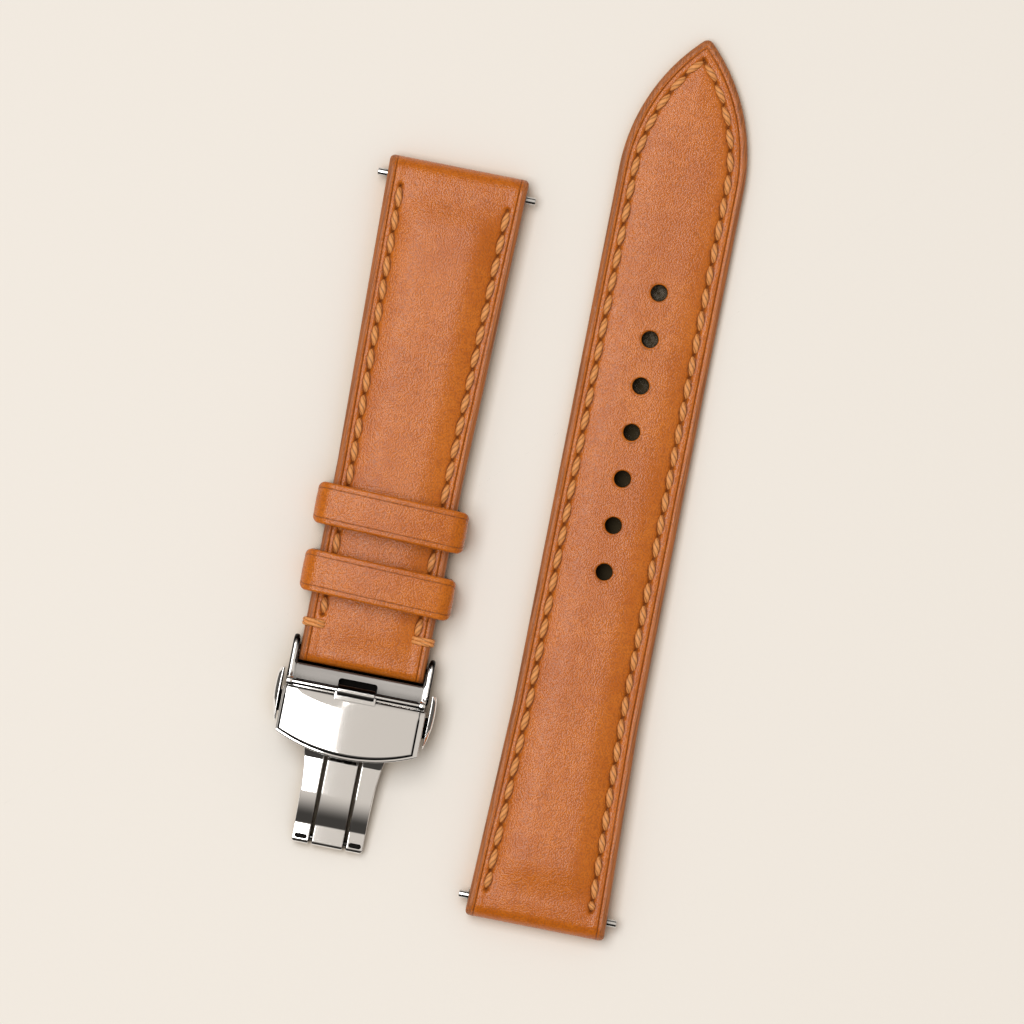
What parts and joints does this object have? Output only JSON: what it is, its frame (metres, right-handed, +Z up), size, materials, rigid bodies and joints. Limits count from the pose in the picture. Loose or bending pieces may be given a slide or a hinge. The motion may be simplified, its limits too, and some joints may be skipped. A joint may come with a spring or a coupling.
{
  "type": "leather watch strap",
  "caption": "Padded, stitched leather watch strap laid out flat, with keepers, spring bars and a folding clasp with push buttons.",
  "frame": {"origin": "centre of the bounding box at its bottom, on the surface that the two laid-out pieces rest on", "axes": "+Y along the straps towards the long piece's pointed tail, +Z up through the leather, +X from the short piece towards the long piece"},
  "size_m": [0.0538, 0.128, 0.0081],
  "materials": {
    "tan_leather": "smooth tan calf leather with a burnished edge",
    "lining_leather": "natural lining leather",
    "padding": "bonded leather padding, out of sight",
    "satin_steel": "satin stainless steel",
    "polished_steel": "mirror polished stainless steel",
    "spring_steel": "spring wire"
  },
  "bodies": {
    "straps": {"long_top_leather": "tan_leather", "long_filler": "padding", "long_lining": "lining_leather", "long_bar_tube": "satin_steel", "long_bar_spring": "spring_steel", "short_top_leather": "tan_leather", "short_filler": "padding", "short_lining": "lining_leather", "short_bar_tube": "satin_steel", "short_bar_spring": "spring_steel", "clasp_bar_tube": "satin_steel", "clasp_bar_spring": "spring_steel", "fixed_keeper": "tan_leather"},
    "free_keeper": {"free_keeper": "tan_leather"},
    "clasp_base": {"clasp_base": "satin_steel"},
    "clasp_fork": {"clasp_fork": "polished_steel", "blade_pin": "polished_steel", "strap_post": "polished_steel", "cover_rod": "polished_steel", "button_spring_left": "spring_steel", "button_spring_right": "spring_steel"},
    "clasp_cover": {"clasp_cover": "polished_steel"},
    "button_left": {"button_left": "polished_steel"},
    "button_right": {"button_right": "polished_steel"},
    "long_bar_tip_left": {"long_bar_tip_left": "satin_steel"},
    "long_bar_tip_right": {"long_bar_tip_right": "satin_steel"},
    "short_bar_tip_left": {"short_bar_tip_left": "satin_steel"},
    "short_bar_tip_right": {"short_bar_tip_right": "satin_steel"},
    "clasp_bar_tip_left": {"clasp_bar_tip_left": "satin_steel"},
    "clasp_bar_tip_right": {"clasp_bar_tip_right": "satin_steel"}
  },
  "joints": [
    {"name": "free_keeper_slide", "type": "slide", "parent": "straps", "child": "free_keeper", "axis": [0, 1, 0], "range_m": [-0.0034, 0.015]},
    {"name": "clasp_swivel", "type": "hinge", "parent": "straps", "child": "clasp_base", "pos_m": [-0.01542, -0.03135, 0.00275], "axis": [-1, 0, 0], "range_deg": [-60, 75]},
    {"name": "clasp_fold", "type": "hinge", "parent": "clasp_base", "child": "clasp_fork", "pos_m": [-0.01542, -0.0576, 0.001], "axis": [1, 0, 0], "range_deg": [0, 170]},
    {"name": "cover_flip", "type": "hinge", "parent": "clasp_fork", "child": "clasp_cover", "pos_m": [-0.01542, -0.0362, 0.00715], "axis": [-1, 0, 0], "range_deg": [0, 100]},
    {"name": "button_left_press", "type": "slide", "parent": "clasp_fork", "child": "button_left", "axis": [1, 0, 0], "range_m": [0, 0.0004], "stiffness_N_per_m": 600, "springref_m": -0.0008, "deforming": ["button_spring_left"]},
    {"name": "button_right_press", "type": "slide", "parent": "clasp_fork", "child": "button_right", "axis": [-1, 0, 0], "range_m": [0, 0.0004], "stiffness_N_per_m": 600, "springref_m": -0.0008, "deforming": ["button_spring_right"]},
    {"name": "long_bar_tip_left_press", "type": "slide", "parent": "straps", "child": "long_bar_tip_left", "axis": [1, 0, 0], "range_m": [0, 0.0013], "stiffness_N_per_m": 300, "springref_m": -0.001, "deforming": ["long_bar_spring"]},
    {"name": "long_bar_tip_right_press", "type": "slide", "parent": "straps", "child": "long_bar_tip_right", "axis": [-1, 0, 0], "range_m": [0, 0.0013], "stiffness_N_per_m": 300, "springref_m": -0.001, "deforming": ["long_bar_spring"]},
    {"name": "short_bar_tip_left_press", "type": "slide", "parent": "straps", "child": "short_bar_tip_left", "axis": [1, 0, 0], "range_m": [0, 0.0013], "stiffness_N_per_m": 300, "springref_m": -0.001, "deforming": ["short_bar_spring"]},
    {"name": "short_bar_tip_right_press", "type": "slide", "parent": "straps", "child": "short_bar_tip_right", "axis": [-1, 0, 0], "range_m": [0, 0.0013], "stiffness_N_per_m": 300, "springref_m": -0.001, "deforming": ["short_bar_spring"]},
    {"name": "clasp_bar_tip_left_press", "type": "slide", "parent": "straps", "child": "clasp_bar_tip_left", "axis": [1, 0, 0], "range_m": [0, 0.00075], "stiffness_N_per_m": 300, "springref_m": -0.001, "deforming": ["clasp_bar_spring"]},
    {"name": "clasp_bar_tip_right_press", "type": "slide", "parent": "straps", "child": "clasp_bar_tip_right", "axis": [-1, 0, 0], "range_m": [0, 0.00075], "stiffness_N_per_m": 300, "springref_m": -0.001, "deforming": ["clasp_bar_spring"]}
  ]
}
